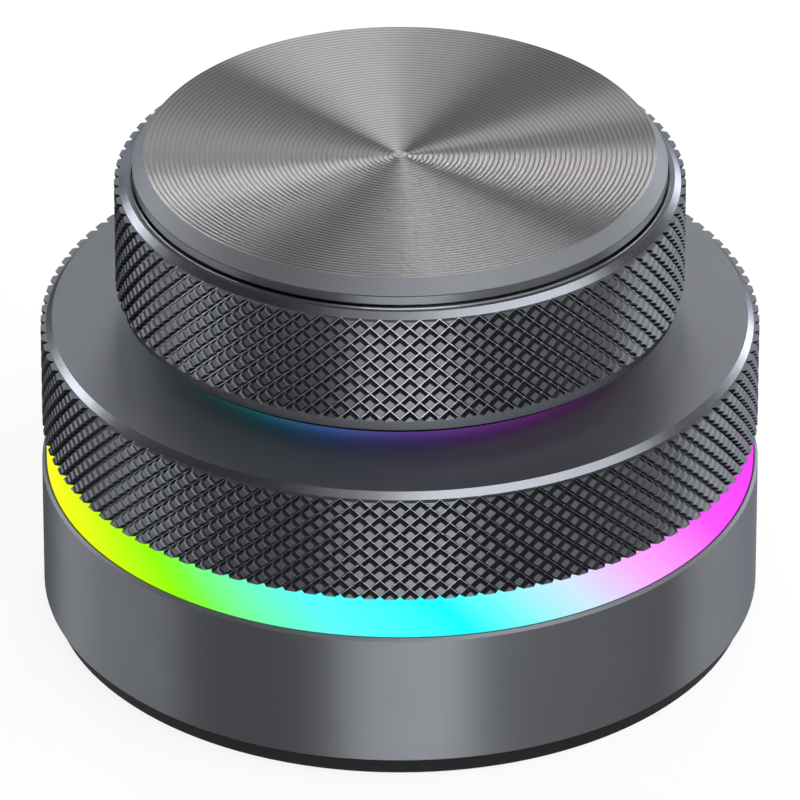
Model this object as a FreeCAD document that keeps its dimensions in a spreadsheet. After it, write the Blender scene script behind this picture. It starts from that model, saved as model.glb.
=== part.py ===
import FreeCAD, Part
import math
import os
import re

import Sketcher

# A desk volume control, 60 mm across: a round base with a rubber foot and a USB-C port at the back (+Y),
# a knurled lower ring that turns on a ball bearing round a fixed centre column, and a knob on top of the
# column that turns and presses. Millimetres, +Z up, origin at the centre of the foot's underside.

# Driving dimensions: alias, value, what it is.
DIMENSIONS = [
    # Clearances
    ("turn_gap", 0.3, "gap between a piece that turns and a fixed one"),
    ("seat_gap", 0.1, "gap round a piece that sits in a bore"),
    ("press_travel", 0.5, "how far the knob presses down"),
    # M2 screws
    ("head_radius", 1.9, "M2 screw head"),
    ("head_height", 1.2, "M2 screw head"),
    ("thread_radius", 0.95, "M2 screw shank"),
    ("tapped_radius", 1.0, "tapped hole for M2"),
    ("clear_radius", 1.1, "clearance hole for M2"),
    ("sink_radius", 2.0, "counterbore for an M2 head"),
    ("sink_depth", 1.3, "counterbore, depth"),
    ("screw_grip", 4.5, "length of M2 thread in the piece that it holds to"),
    ("thread_spare", 0.3, "tapped hole beyond the screw's end"),
    # Base
    ("base_radius", 30.0, "base wall, outside"),
    ("base_wall", 2.5, "base wall, thickness"),
    ("base_height", 11.7, "base wall, height"),
    ("base_edge", 0.1, "base wall, bottom chamfer"),
    ("bevel_width", 0.23, "bevel round the top of the base wall"),
    ("bevel_height", 0.25, "the same bevel, height"),
    ("foot_inset", 0.8, "rubber foot, step in from the base wall"),
    ("foot_height", 1.75, "rubber foot, thickness"),
    ("foot_edge", 0.2, "rubber foot, edge chamfer"),
    ("plate_height", 2.5, "bottom plate, thickness"),
    ("boss_radius", 3.0, "screw boss on the base wall"),
    ("boss_overlap", 0.3, "how far a boss runs into the wall"),
    ("boss_gap", 0.9, "gap between a boss and the light guide above it"),
    ("boss_angle", 45, "direction of the first boss, degrees"),
    ("pillar_radius", 2.6, "pillar under the main board"),
    ("pillar_height", 1.0, "pillar under the main board"),
    ("pad_margin", 1.0, "raised pad round the foot of the column"),
    # Main board and what stands on it
    ("board_height", 1.2, "main board, thickness"),
    ("board_gap", 0.7, "gap between the main board and the base wall"),
    ("notch_gap", 0.4, "gap between the main board and a boss"),
    ("chip_height", 0.9, "chips, height"),
    ("chip_gap", 0.6, "distance of a chip from the line between it and its neighbour"),
    ("controller_side", 4.0, "controller chip, side"),
    ("driver_side", 3.0, "LED driver chip, side"),
    ("regulator_side", 2.0, "regulator chip, side"),
    ("led_side", 3.5, "base LED, side"),
    ("led_height", 1.6, "base LED, height"),
    ("led_angle", 22.5, "direction of the first LED of each board, degrees"),
    ("led_count", 8, "LEDs on each board"),
    ("usb_width", 8.94, "USB-C receptacle, outside width"),
    ("usb_height", 3.26, "USB-C receptacle, outside height"),
    ("usb_length", 7.3, "USB-C receptacle, length"),
    ("usb_wall", 0.3, "USB-C receptacle, sheet thickness"),
    ("usb_recess", 0.7, "USB-C mouth, depth behind the base wall's outside"),
    ("usb_play", 0.17, "gap round the receptacle in the base wall"),
    ("tongue_width", 6.69, "USB-C tongue, width"),
    ("tongue_height", 0.7, "USB-C tongue, thickness"),
    ("tongue_recess", 0.9, "USB-C tongue, depth behind the mouth"),
    # Light ring
    ("light_inset", 0.4, "light ring, step in from the base wall"),
    ("light_band", 3.47, "light ring, height of the visible band"),
    ("light_lip_gap", 0.4, "gap between its lip and the lower ring"),
    ("light_lip_wall", 1.6, "its lip, thickness"),
    ("light_lip_height", 1.5, "its lip, height above the band"),
    ("guide_width", 3.6, "its guide over the LEDs, width"),
    ("guide_height", 1.8, "its guide over the LEDs, height"),
    ("guide_gap", 0.44, "gap between the USB-C receptacle and the guide"),
    # Lower ring
    ("ring_inset", 0.07, "lower ring, step in from the base wall"),
    ("ring_wall", 2.33, "lower ring, wall with the knurl"),
    ("ring_knurl", 9.16, "lower ring, height of the knurl"),
    ("ring_knurl_depth", 0.48, "lower ring, step in above the knurl"),
    ("ring_neck", 0.02, "lower ring, plain step above the knurl"),
    ("knurl_rows", 3, "rows of diamonds in each knurl"),
    ("knurl_ledge", 0.04, "how far the floors of a knurl's grooves stay outside the neck beside them"),
    ("deck_chamfer", 0.53, "lower ring, height of the edge chamfer"),
    ("deck_chamfer_width", 0.48, "lower ring, width of the edge chamfer"),
    ("deck_height", 1.8, "lower ring, thickness of the top"),
    ("deck_lip", 0.4, "lower ring, deck beyond the hub's lip"),
    # Centre column and bearing
    ("column_seat", 10.0, "centre column, radius of the bearing seat"),
    ("column_step", 1.0, "centre column, shoulder under the bearing"),
    ("column_wall", 2.0, "centre column, wall at the bearing seat"),
    ("column_screw_angle", 60, "direction of the first column screw, degrees"),
    ("bearing_width", 4.0, "bearing"),
    ("bearing_section", 3.5, "bearing, from bore to outside"),
    ("race_gap", 1.3, "gap between the two races"),
    ("ball_radius", 1.0, "bearing ball"),
    ("ball_play", 0.02, "clearance of a ball in its groove"),
    ("ball_count", 16, "bearing balls"),
    ("clip_groove", 0.5, "groove for the bearing clip, depth"),
    ("clip_width", 1.7, "bearing clip, width of its band"),
    ("clip_height", 0.8, "bearing clip, thickness"),
    ("clip_opening", 3.0, "bearing clip, width of its opening"),
    # Ring hub
    ("hub_lip", 0.7, "ring hub, lip over the bearing"),
    ("hub_wall", 2.1, "ring hub, sleeve round the bearing"),
    ("hub_sleeve", 1.7, "ring hub, sleeve below the bearing"),
    ("hub_flange_height", 2.0, "ring hub, flange thickness"),
    ("hub_head_radius", 1.6, "hub screw head"),
    ("hub_head_gap", 0.2, "gap between a hub screw head and the sleeve"),
    ("hub_rim", 0.2, "ring hub, flange beyond the screw heads"),
    ("hub_grip", 0.9, "length of hub screw in the deck"),
    # Ring encoder
    ("encoder_wall", 1.0, "ring encoder housing, wall and floor"),
    ("encoder_rim", 5.0, "ring encoder housing, height"),
    ("collar_wall", 0.7, "ring encoder housing, inner collar"),
    ("collar_height", 2.3, "ring encoder housing, inner collar"),
    ("cover_height", 0.5, "ring encoder cover, thickness"),
    ("sleeve_wall", 1.1, "ring encoder rotor, sleeve"),
    ("rotor_flange", 2.8, "ring encoder rotor, width of its disc"),
    ("rotor_flange_height", 1.0, "ring encoder rotor, thickness of its disc"),
    ("tab_width", 2.8, "drive tab on the rotor"),
    ("tab_play", 0.1, "gap round a drive tab in the hub"),
    ("tab_drop", 1.5, "drive tab, part below the hub"),
    ("tab_engagement", 1.2, "drive tab, part inside the hub"),
    # Board carrier, knob board and halo light
    ("carrier_width", 3.0, "board carrier, beyond the bearing seat"),
    ("carrier_height", 1.2, "board carrier"),
    ("knob_board_gap", 3.3, "gap between the knob board and the knob"),
    ("knob_board_height", 1.0, "knob board, thickness"),
    ("small_screw_angle", 30, "direction of the first knob board screw, degrees"),
    ("small_thread", 0.6, "M1.4 screw shank"),
    ("small_tapped", 0.65, "tapped hole for M1.4"),
    ("small_clear", 0.75, "clearance hole for M1.4"),
    ("small_head", 1.25, "M1.4 screw head"),
    ("small_head_height", 0.8, "M1.4 screw head"),
    ("small_grip", 3.3, "length of M1.4 thread in the column"),
    ("halo_margin", 0.1, "halo diffuser, step in from the knob board"),
    ("halo_width", 2.4, "halo diffuser, width"),
    ("halo_height", 1.1, "halo diffuser, height"),
    ("halo_led_side", 2.0, "halo LED, side"),
    ("halo_led_height", 0.8, "halo LED, height"),
    ("halo_led_gap", 0.3, "gap between a halo LED and the diffuser"),
    ("plug_width", 8.0, "link connectors, width"),
    ("plug_depth", 3.4, "link connectors, depth"),
    ("plug_height", 3.0, "link connectors, height"),
    ("cable_width", 6.5, "link cable, width"),
    ("cable_thickness", 0.8, "link cable, thickness"),
    # Push encoder
    ("push_side", 12.0, "push encoder, side"),
    ("push_height", 4.0, "push encoder body, height"),
    ("push_wall", 0.8, "push encoder body, thinnest wall"),
    ("push_floor", 0.6, "push encoder body, floor"),
    ("dome_radius", 3.3, "snap dome"),
    ("dome_margin", 0.2, "gap round the snap dome"),
    ("dome_depth", 1.1, "dome chamber, depth"),
    ("dome_height", 0.7, "snap dome, rise"),
    ("dome_sheet", 0.12, "snap dome, sheet thickness"),
    ("dome_crown", 1.2, "snap dome, flatter middle"),
    ("key_radius", 2.2, "keyed end of the encoder shaft"),
    ("key_flat", 1.5, "distance of its flat from the axis"),
    ("shaft_play", 0.05, "running clearance of the encoder shaft"),
    ("shaft_radius", 3.0, "encoder shaft"),
    ("shaft_cap", 0.2, "gap between the shaft's top end and the disc"),
    ("bushing_wall", 0.85, "encoder bushing, collar"),
    ("bushing_plate", 0.4, "encoder bushing, plate thickness"),
    ("pin_radius", 0.4, "encoder pin"),
    ("pin_play", 0.1, "gap round a pin in the knob board"),
    ("pin_row", 6.0, "distance of the pin rows from the axis"),
    ("pin_pitch", 2.5, "distance between pins"),
    ("pin_reach", 1.2, "length of pin below the knob board"),
    # Knob
    ("glow_gap", 1.9, "gap between the lower ring and the knob"),
    ("knob_crest", 23.65, "knob ring, tips of the knurl"),
    ("knob_knurl", 9.3, "knob ring, height of the knurl"),
    ("knob_knurl_depth", 0.42, "knob ring, step in beside the knurl"),
    ("knob_chamfer", 0.48, "knob ring, height of its edge chamfers"),
    ("knob_chamfer_width", 0.51, "knob ring, width of its edge chamfers"),
    ("knob_band", 1.03, "knob ring, plain band below the knurl"),
    ("knob_rim", 0.47, "knob ring, flat rim round the disc"),
    ("knob_wall", 1.53, "knob ring, thickness of its wall"),
    ("shoulder_width", 1.3, "knob ring, inner shoulder"),
    ("shoulder_height", 1.8, "knob ring, inner shoulder"),
    ("disc_gap", 0.12, "gap round the top disc"),
    ("disc_seat", 0.82, "depth of the disc's recess in the ring"),
    ("disc_height", 3.1, "top disc, thickness"),
    ("disc_chamfer", 1.16, "top disc, height of the edge chamfer"),
    ("disc_chamfer_width", 0.93, "top disc, width of the edge chamfer"),
    ("disc_dish", 0.45, "top disc, depth of its dished face at the middle"),
    ("clamp_height", 1.5, "knob hub, flange under the shoulder"),
    ("clamp_gap", 0.2, "gap round the knob hub in the ring"),
    ("relief_gap", 0.4, "gap between the knob hub and the bushing"),
    ("relief_depth", 0.5, "knob hub, depth of the relief round the bushing"),
    ("pocket_depth", 1.8, "knob hub, depth of its round pockets"),
    ("hub_boss_wall", 2.2, "knob hub, boss round the relief"),
    ("screw_land", 2.5, "knob hub, land each side of the screw circle"),
    ("rim_land", 0.9, "knob hub, land at the rim"),
    ("knob_screw_circle", 14.0, "circle of the knob screws"),
    ("knob_grip", 1.9, "length of knob screw in the disc"),
]

# Radii and levels that follow from them.
DERIVED = {
    "base_bore": "base_radius - base_wall",
    "foot_radius": "base_radius - foot_inset",
    "plate_radius": "base_bore - seat_gap",
    "plate_top": "foot_height + plate_height",
    "sink_top": "foot_height + sink_depth",
    "boss_circle": "base_bore - boss_radius + boss_overlap",
    "board_low": "plate_top + pillar_height",
    "board_top": "board_low + board_height",
    "board_radius": "base_bore - board_gap",
    "base_top": "foot_height + base_height",
    "usb_level": "board_top + usb_height / 2",
    "usb_mouth": "base_radius - usb_recess",
    "usb_back": "usb_mouth - usb_length",
    "guide_low": "board_top + usb_height + guide_gap",
    "guide_top": "guide_low + guide_height",
    "boss_top": "guide_low - boss_gap",
    "light_top": "base_top + light_band",
    "light_radius": "base_radius - light_inset",
    "light_skirt": "base_bore - seat_gap",
    "light_lip": "ring_bore - light_lip_gap",
    "light_inner": "light_lip - light_lip_wall",
    "guide_inner": "light_inner - guide_width",
    "led_circle": "guide_inner + led_side / 2",
    "ring_bottom": "light_top + turn_gap",
    "ring_crest": "base_radius - ring_inset",
    "ring_bore": "ring_crest - ring_wall",
    "neck_radius": "ring_crest - ring_knurl_depth",
    "ring_root": "neck_radius + knurl_ledge",
    "deck_radius": "neck_radius - deck_chamfer_width",
    "ring_knurl_top": "ring_bottom + ring_knurl",
    "neck_top": "ring_knurl_top + ring_neck",
    "ring_deck": "neck_top + deck_chamfer",
    "deck_low": "ring_deck - deck_height",
    "bearing_top": "deck_low - hub_flange_height",
    "bearing_low": "bearing_top - bearing_width",
    "bearing_radius": "column_seat + bearing_section",
    "ball_circle": "column_seat + bearing_section / 2",
    "ball_level": "bearing_low + bearing_width / 2",
    "clip_seat": "column_seat - clip_groove",
    "clip_top": "bearing_top + clip_height",
    "column_radius": "column_seat + column_step",
    "column_bore": "column_seat - column_wall",
    "column_top": "ring_deck + turn_gap",
    "column_screw_circle": "(column_bore + column_radius) / 2",
    "small_screw_circle": "(column_bore + column_seat) / 2",
    "hub_bore": "bearing_radius - hub_lip",
    "deck_hole": "hub_bore - deck_lip",
    "hub_radius": "bearing_radius + hub_wall",
    "hub_low": "bearing_low - hub_sleeve",
    "hub_screw_circle": "hub_radius + hub_head_radius + hub_head_gap",
    "hub_flange_radius": "hub_screw_circle + hub_head_radius + hub_rim",
    "encoder_bore": "column_radius + turn_gap",
    "encoder_floor": "board_top + encoder_wall",
    "encoder_top": "board_top + encoder_rim",
    "collar_radius": "encoder_bore + collar_wall",
    "collar_top": "board_top + collar_height",
    "sleeve_bore": "collar_radius + turn_gap",
    "sleeve_radius": "sleeve_bore + sleeve_wall",
    "sleeve_low": "encoder_floor + turn_gap",
    "flange_radius": "sleeve_radius + rotor_flange",
    "encoder_inside": "flange_radius + turn_gap",
    "encoder_radius": "encoder_inside + encoder_wall",
    "tab_low": "hub_low - tab_drop",
    "tab_top": "hub_low + tab_engagement",
    "sleeve_top": "(tab_low + hub_low) / 2",
    "lane_circle": "(encoder_radius + board_radius) / 2",
    "carrier_radius": "column_seat + carrier_width",
    "carrier_top": "column_top + carrier_height",
    "knob_board_top": "carrier_top + knob_board_height",
    "knob_board_radius": "knob_bore - knob_board_gap",
    "halo_radius": "knob_board_radius - halo_margin",
    "halo_inner": "halo_radius - halo_width",
    "halo_led_circle": "halo_inner - halo_led_gap - halo_led_side / 2",
    "push_top": "knob_board_top + push_height",
    "dome_low": "knob_board_top + push_floor",
    "dome_top": "dome_low + dome_height",
    "chamber_low": "dome_low + dome_depth",
    "chamber_radius": "push_side / 2 - push_wall",
    "rotor_low": "chamber_low + turn_gap",
    "rotor_top": "push_top - turn_gap",
    "shaft_shoulder": "push_top + press_travel",
    "shaft_top": "disc_low - shaft_cap",
    "bushing_bore": "shaft_radius + shaft_play",
    "bushing_radius": "bushing_bore + bushing_wall",
    "bushing_top": "relief_top - press_travel - turn_gap",
    "knob_bottom": "ring_deck + glow_gap",
    "knob_neck": "knob_crest - knob_knurl_depth",
    "knob_root": "knob_neck + knurl_ledge",
    "knob_flat": "knob_neck - knob_chamfer_width",
    "knob_bore": "knob_neck - knob_wall",
    "shoulder_bore": "knob_bore - shoulder_width",
    "band_low": "knob_bottom + knob_chamfer",
    "knob_knurl_low": "band_low + knob_band",
    "knob_knurl_top": "knob_knurl_low + knob_knurl",
    "knob_ring_top": "knob_knurl_top + knob_chamfer",
    "disc_recess": "knob_flat - knob_rim",
    "disc_radius": "disc_recess - disc_gap",
    "disc_face": "disc_radius - disc_chamfer_width",
    "disc_low": "knob_ring_top - disc_seat",
    "disc_top": "disc_low + disc_height",
    "shoulder_low": "disc_low - shoulder_height",
    "clamp_low": "shoulder_low - clamp_height",
    "clamp_radius": "knob_bore - clamp_gap",
    "spigot_radius": "shoulder_bore - seat_gap",
    "relief_radius": "bushing_radius + relief_gap",
    "relief_top": "clamp_low + relief_depth",
    "pocket_top": "clamp_low + pocket_depth",
    "inner_pocket_from": "relief_radius + hub_boss_wall",
    "inner_pocket_to": "knob_screw_circle - screw_land",
    "outer_pocket_from": "knob_screw_circle + screw_land",
    "outer_pocket_to": "spigot_radius - rim_land",
}

doc = FreeCAD.newDocument("volume_knob")
dims = doc.addObject("Spreadsheet::Sheet", "dims")
for row, (alias, value, meaning) in enumerate(DIMENSIONS, 1):
    dims.set(f"A{row}", meaning)
    dims.set(f"B{row}", str(value))
    dims.setAlias(f"B{row}", alias)
doc.recompute()

ALIASES = {alias for alias, value, meaning in DIMENSIONS}
sub_parts = []


def linked(formula):
    """The formula with derived names written out and every alias pointing at its cell of the sheet."""
    def swap(word):
        name = word[0]
        if name in DERIVED:
            return f"({linked(DERIVED[name])})"
        return f"dims.{name}" if name in ALIASES else name
    return re.sub(r"[a-z_]+", swap, formula)


def bind(feature, prop, formula):
    feature.setExpression(prop, linked(formula))


def size_of(formula):
    """The number that a formula gives with the sheet's present values."""
    return float(dims.evalExpression(linked(formula)))


def new_body(label):
    body = doc.addObject("PartDesign::Body", label)
    body.Label = label
    body.AllowCompound = True
    body.Placement = FreeCAD.Placement()
    sub_parts.append(body)
    return body


def new_feature(body, kind, name):
    return body.newObject(kind, f"{body.Name}_{name}")


def origin_of(body, role):
    return next(feature for feature in body.Origin.OriginFeatures if feature.Role == role)


def new_sketch(body, name, plane, level, angle="0"):
    """An empty sketch on an origin plane, lifted to a level and turned about the plane's normal."""
    sketch = new_feature(body, "Sketcher::SketchObject", name + "_sketch")
    sketch.AttachmentSupport = (origin_of(body, plane), "")
    sketch.MapMode = "FlatFace"
    bind(sketch, ".AttachmentOffset.Base.z", level)
    bind(sketch, ".AttachmentOffset.Rotation.Angle", angle)
    return sketch


def fix_point(sketch, edge, end, x, y):
    """Hold a point of a sketch at formulas for its two coordinates."""
    start = sketch.getPoint(edge, end)
    for kind, axis, formula, value in (("DistanceX", -2, x, start.x), ("DistanceY", -1, y, start.y)):
        if formula == "0":
            sketch.addConstraint(Sketcher.Constraint("PointOnObject", edge, end, axis))
        else:
            held = sketch.addConstraint(Sketcher.Constraint(kind, -1, 1, edge, end, value))
            bind(sketch, f"Constraints[{held}]", formula)


def add_outline(sketch, corners):
    """A closed outline of straight lines; its corners start on a circle and are then held in place."""
    count = len(corners)
    turns = [2 * math.pi * index / count for index in range(count)]
    start = [FreeCAD.Vector(math.cos(turn), math.sin(turn), 0) for turn in turns]
    for index in range(count):
        sketch.addGeometry(Part.LineSegment(start[index], start[(index + 1) % count]), False)
    for index, (x, y) in enumerate(corners):
        sketch.addConstraint(Sketcher.Constraint("Coincident", (index - 1) % count, 2, index, 1))
        fix_point(sketch, index, 1, x, y)


def add_circle(sketch, x, y, radius):
    edge = sketch.addGeometry(Part.Circle(FreeCAD.Vector(1, 1, 0), FreeCAD.Vector(0, 0, 1), 1), False)
    fix_point(sketch, edge, 3, x, y)
    held = sketch.addConstraint(Sketcher.Constraint("Radius", edge, 1.0))
    bind(sketch, f"Constraints[{held}]", radius)


def add_stadium(sketch, level, width, height):
    """A slot outline with round ends, centred on the sketch's vertical axis at a level."""
    half = f"({width} - {height}) / 2"
    top, bottom = f"{level} + {height} / 2", f"{level} - {height} / 2"
    upper = Part.LineSegment(FreeCAD.Vector(-1, 1, 0), FreeCAD.Vector(1, 1, 0))
    right = Part.Arc(FreeCAD.Vector(1, 1, 0), FreeCAD.Vector(2, 0, 0), FreeCAD.Vector(1, -1, 0))
    lower = Part.LineSegment(FreeCAD.Vector(1, -1, 0), FreeCAD.Vector(-1, -1, 0))
    left = Part.Arc(FreeCAD.Vector(-1, -1, 0), FreeCAD.Vector(-2, 0, 0), FreeCAD.Vector(-1, 1, 0))
    first = sketch.addGeometry([upper, right, lower, left], False)[0]
    # Arcs run counter-clockwise, so the right one starts at its lower end and the left one at its upper end.
    for line, line_end, arc, arc_end in ((0, 2, 1, 2), (1, 1, 2, 1), (2, 2, 3, 2), (3, 1, 0, 1)):
        sketch.addConstraint(Sketcher.Constraint("Coincident", first + line, line_end, first + arc, arc_end))
    fix_point(sketch, first, 1, f"-{half}", top)
    fix_point(sketch, first, 2, half, top)
    fix_point(sketch, first + 2, 1, half, bottom)
    fix_point(sketch, first + 2, 2, f"-{half}", bottom)
    for arc, x in ((first + 1, half), (first + 3, f"-{half}")):
        value = sketch.getPoint(arc, 3).x
        held = sketch.addConstraint(Sketcher.Constraint("DistanceX", -1, 1, arc, 3, value))
        bind(sketch, f"Constraints[{held}]", x)


def turn_profile(body, corners, name="turning"):
    """Revolve a closed outline of (radius, level) corners about the part's axis."""
    sketch = new_sketch(body, name, "XZ_Plane", "0")
    add_outline(sketch, corners)
    turning = new_feature(body, "PartDesign::Revolution", name)
    turning.Profile = sketch
    turning.ReferenceAxis = (sketch, ["V_Axis"])
    turning.Angle = 360
    body.Tip = turning
    return turning


def groove_circle(body, radius_at, level, radius):
    """Cut a round-bottomed groove about the part's axis."""
    sketch = new_sketch(body, "groove", "XZ_Plane", "0")
    add_circle(sketch, radius_at, level, radius)
    groove = new_feature(body, "PartDesign::Groove", "groove")
    groove.Profile = sketch
    groove.ReferenceAxis = (sketch, ["V_Axis"])
    groove.Angle = 360
    body.Tip = groove


def raise_pad(body, name, draw, low, height, angle="0"):
    """Add the prism of a sketch that draw fills in, from a low level upwards."""
    sketch = new_sketch(body, name, "XY_Plane", low, angle)
    draw(sketch)
    pad = new_feature(body, "PartDesign::Pad", name)
    pad.Profile = sketch
    bind(pad, "Length", height)
    body.Tip = pad
    return pad


def cut_pocket(body, name, draw, low, height, angle="0"):
    """Remove the prism of a sketch that draw fills in, from a low level upwards."""
    sketch = new_sketch(body, name, "XY_Plane", low, angle)
    draw(sketch)
    pocket = new_feature(body, "PartDesign::Pocket", name)
    pocket.Profile = sketch
    pocket.Reversed = True
    bind(pocket, "Length", height)
    body.Tip = pocket
    return pocket


def repeat_round(body, features, count, name="repeat"):
    """Repeat features evenly about the part's axis."""
    pattern = new_feature(body, "PartDesign::PolarPattern", name)
    pattern.Originals = features
    pattern.Axis = (origin_of(body, "Z_Axis"), [""])
    pattern.Angle = 360
    bind(pattern, "Occurrences", count)
    body.Tip = pattern


def circle_at(circle, radius):
    """A draw function for a circle whose centre lies at a distance along X."""
    return lambda sketch: add_circle(sketch, circle, "0", radius)


def box_at(x, y, width, depth):
    """A draw function for a rectangle centred on a point."""
    left, right = f"{x} - ({width}) / 2", f"{x} + ({width}) / 2"
    front, back = f"{y} - ({depth}) / 2", f"{y} + ({depth}) / 2"
    return lambda sketch: add_outline(sketch, [(left, front), (right, front), (right, back), (left, back)])


def drill_round(body, name, circle, radius, low, depth, count, angle="0"):
    """Drill a ring of equal holes upwards from a level."""
    hole = cut_pocket(body, name, circle_at(circle, radius), low, depth, angle)
    repeat_round(body, [hole], count, name + "_repeat")


def make_foot():
    body = new_body("rubber_foot")
    turn_profile(body, [
        ("0", "0"), ("foot_radius - foot_edge", "0"), ("foot_radius", "foot_edge"),
        ("foot_radius", "foot_height"), ("0", "foot_height")])


def make_bottom_plate():
    """Steel plate with a raised pad under the column and pillars for the board screws."""
    body = new_body("bottom_plate")
    pad_radius = "column_radius + pad_margin"
    turn_profile(body, [
        ("0", "foot_height"), ("plate_radius", "foot_height"), ("plate_radius", "plate_top"),
        (pad_radius, "plate_top"), (pad_radius, "board_low"), ("0", "board_low")])
    pillar = raise_pad(body, "pillar", circle_at("lane_circle", "pillar_radius"), "plate_top",
                       "pillar_height")
    repeat_round(body, [pillar], "2", "pillars")
    drill_round(body, "pillar_thread", "lane_circle", "tapped_radius", "sink_top", "board_low - sink_top",
                "2")
    for name, circle, count, angle in (("edge", "boss_circle", "4", "boss_angle"),
                                       ("column", "column_screw_circle", "3", "column_screw_angle")):
        drill_round(body, name + "_sink", circle, "sink_radius", "foot_height", "sink_depth", count, angle)
        drill_round(body, name + "_hole", circle, "clear_radius", "foot_height", "board_low - foot_height",
                    count, angle)


def make_base_shell():
    body = new_body("base_shell")
    turn_profile(body, [
        ("base_bore", "foot_height"), ("base_radius - base_edge", "foot_height"),
        ("base_radius", "foot_height + base_edge"), ("base_radius", "base_top - bevel_height"),
        ("base_radius - bevel_width", "base_top"), ("base_bore", "base_top")])
    boss = raise_pad(body, "boss", circle_at("boss_circle", "boss_radius"), "plate_top",
                     "boss_top - plate_top", "boss_angle")
    repeat_round(body, [boss], "4", "bosses")
    drill_round(body, "boss_thread", "boss_circle", "tapped_radius", "plate_top", "screw_grip + thread_spare",
                "4", "boss_angle")
    sketch = new_sketch(body, "usb_opening", "XZ_Plane", "0")
    add_stadium(sketch, "usb_level", "(usb_width + 2 * usb_play)", "(usb_height + 2 * usb_play)")
    opening = new_feature(body, "PartDesign::Pocket", "usb_opening")
    opening.Profile = sketch
    bind(opening, "Length", "base_radius + base_wall")
    body.Tip = opening


def make_main_board():
    body = new_body("main_board")
    raise_pad(body, "sheet", circle_at("0", "board_radius"), "board_low", "board_height")
    for name, circle, radius, count, angle in (
            ("notch", "boss_circle", "boss_radius + notch_gap", "4", "boss_angle"),
            ("pillar_hole", "lane_circle", "clear_radius", "2", "0"),
            ("column_hole", "column_screw_circle", "clear_radius", "3", "column_screw_angle")):
        drill_round(body, name, circle, radius, "board_low", "board_height", count, angle)


def make_usb_port():
    """A sheet-metal shell with a closed rear end, and the contact tongue inside it."""
    shell = new_body("usb_shell")
    outer = new_sketch(shell, "outer", "XZ_Plane", "-usb_mouth")
    add_stadium(outer, "usb_level", "usb_width", "usb_height")
    block = new_feature(shell, "PartDesign::Pad", "block")
    block.Profile = outer
    bind(block, "Length", "usb_length")
    shell.Tip = block
    inner = new_sketch(shell, "inner", "XZ_Plane", "-usb_mouth")
    add_stadium(inner, "usb_level", "(usb_width - 2 * usb_wall)", "(usb_height - 2 * usb_wall)")
    cavity = new_feature(shell, "PartDesign::Pocket", "cavity")
    cavity.Profile = inner
    cavity.Reversed = True
    bind(cavity, "Length", "usb_length - usb_wall")
    shell.Tip = cavity

    tongue = new_body("usb_tongue")
    rear, front = "(usb_back + usb_wall)", "(usb_mouth - tongue_recess)"
    raise_pad(tongue, "blade", box_at("0", f"({rear} + {front}) / 2", "tongue_width", f"{front} - {rear}"),
              "usb_level - tongue_height / 2", "tongue_height")


def make_chips():
    body = new_body("control_chips")
    for name, x, y, side in (
            ("controller", "-controller_side / 2 - chip_gap", "-lane_circle", "controller_side"),
            ("driver", "driver_side / 2 + chip_gap", "-lane_circle", "driver_side"),
            ("regulator", "lane_circle", "head_radius + regulator_side / 2 + chip_gap", "regulator_side")):
        raise_pad(body, name, box_at(x, y, side, side), "board_top", "chip_height")


def make_leds(label, circle, side, low, height):
    body = new_body(label)
    led = raise_pad(body, "led", box_at(circle, "0", side, side), low, height, "led_angle")
    repeat_round(body, [led], "led_count")


def make_light_ring():
    body = new_body("light_ring")
    lip_top = "light_top + light_lip_height"
    turn_profile(body, [
        ("guide_inner", "guide_low"), ("light_skirt", "guide_low"), ("light_skirt", "base_top"),
        ("light_radius", "base_top"), ("light_radius", "light_top"), ("light_lip", "light_top"),
        ("light_lip", lip_top), ("light_inner", lip_top), ("light_inner", "guide_top"),
        ("guide_inner", "guide_top")])


def make_ring_encoder():
    """Hollow-shaft encoder: a fixed housing with a cover, and a rotor that the ring hub drives."""
    housing = new_body("ring_encoder_housing")
    turn_profile(housing, [
        ("encoder_bore", "board_top"), ("encoder_radius", "board_top"), ("encoder_radius", "encoder_top"),
        ("encoder_inside", "encoder_top"), ("encoder_inside", "encoder_floor"),
        ("collar_radius", "encoder_floor"), ("collar_radius", "collar_top"), ("encoder_bore", "collar_top")])

    cover = new_body("ring_encoder_cover")
    cover_bore, cover_top = "sleeve_radius + turn_gap", "encoder_top + cover_height"
    turn_profile(cover, [
        (cover_bore, "encoder_top"), ("encoder_radius", "encoder_top"), ("encoder_radius", cover_top),
        (cover_bore, cover_top)])

    rotor = new_body("ring_encoder_rotor")
    flange_top = "sleeve_low + rotor_flange_height"
    turn_profile(rotor, [
        ("sleeve_bore", "sleeve_low"), ("flange_radius", "sleeve_low"), ("flange_radius", flange_top),
        ("sleeve_radius", flange_top), ("sleeve_radius", "sleeve_top"), ("sleeve_bore", "sleeve_top")])
    inner, outer = "(sleeve_bore + sleeve_wall / 2)", "(hub_radius - tab_play)"
    tab = raise_pad(rotor, "tab", box_at(f"({inner} + {outer}) / 2", "0", f"{outer} - {inner}", "tab_width"),
                    "tab_low", "tab_top - tab_low")
    repeat_round(rotor, [tab], "2", "tabs")


def make_column():
    body = new_body("centre_column")
    turn_profile(body, [
        ("column_bore", "board_top"), ("column_radius", "board_top"), ("column_radius", "bearing_low"),
        ("column_seat", "bearing_low"), ("column_seat", "bearing_top"), ("clip_seat", "bearing_top"),
        ("clip_seat", "clip_top"), ("column_seat", "clip_top"), ("column_seat", "column_top"),
        ("column_bore", "column_top")])
    drill_round(body, "bottom_thread", "column_screw_circle", "tapped_radius", "board_top",
                "screw_grip + thread_spare", "3", "column_screw_angle")
    top_depth = "small_grip + thread_spare"
    drill_round(body, "top_thread", "small_screw_circle", "small_tapped", f"column_top - ({top_depth})",
                top_depth, "3", "small_screw_angle")


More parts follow.
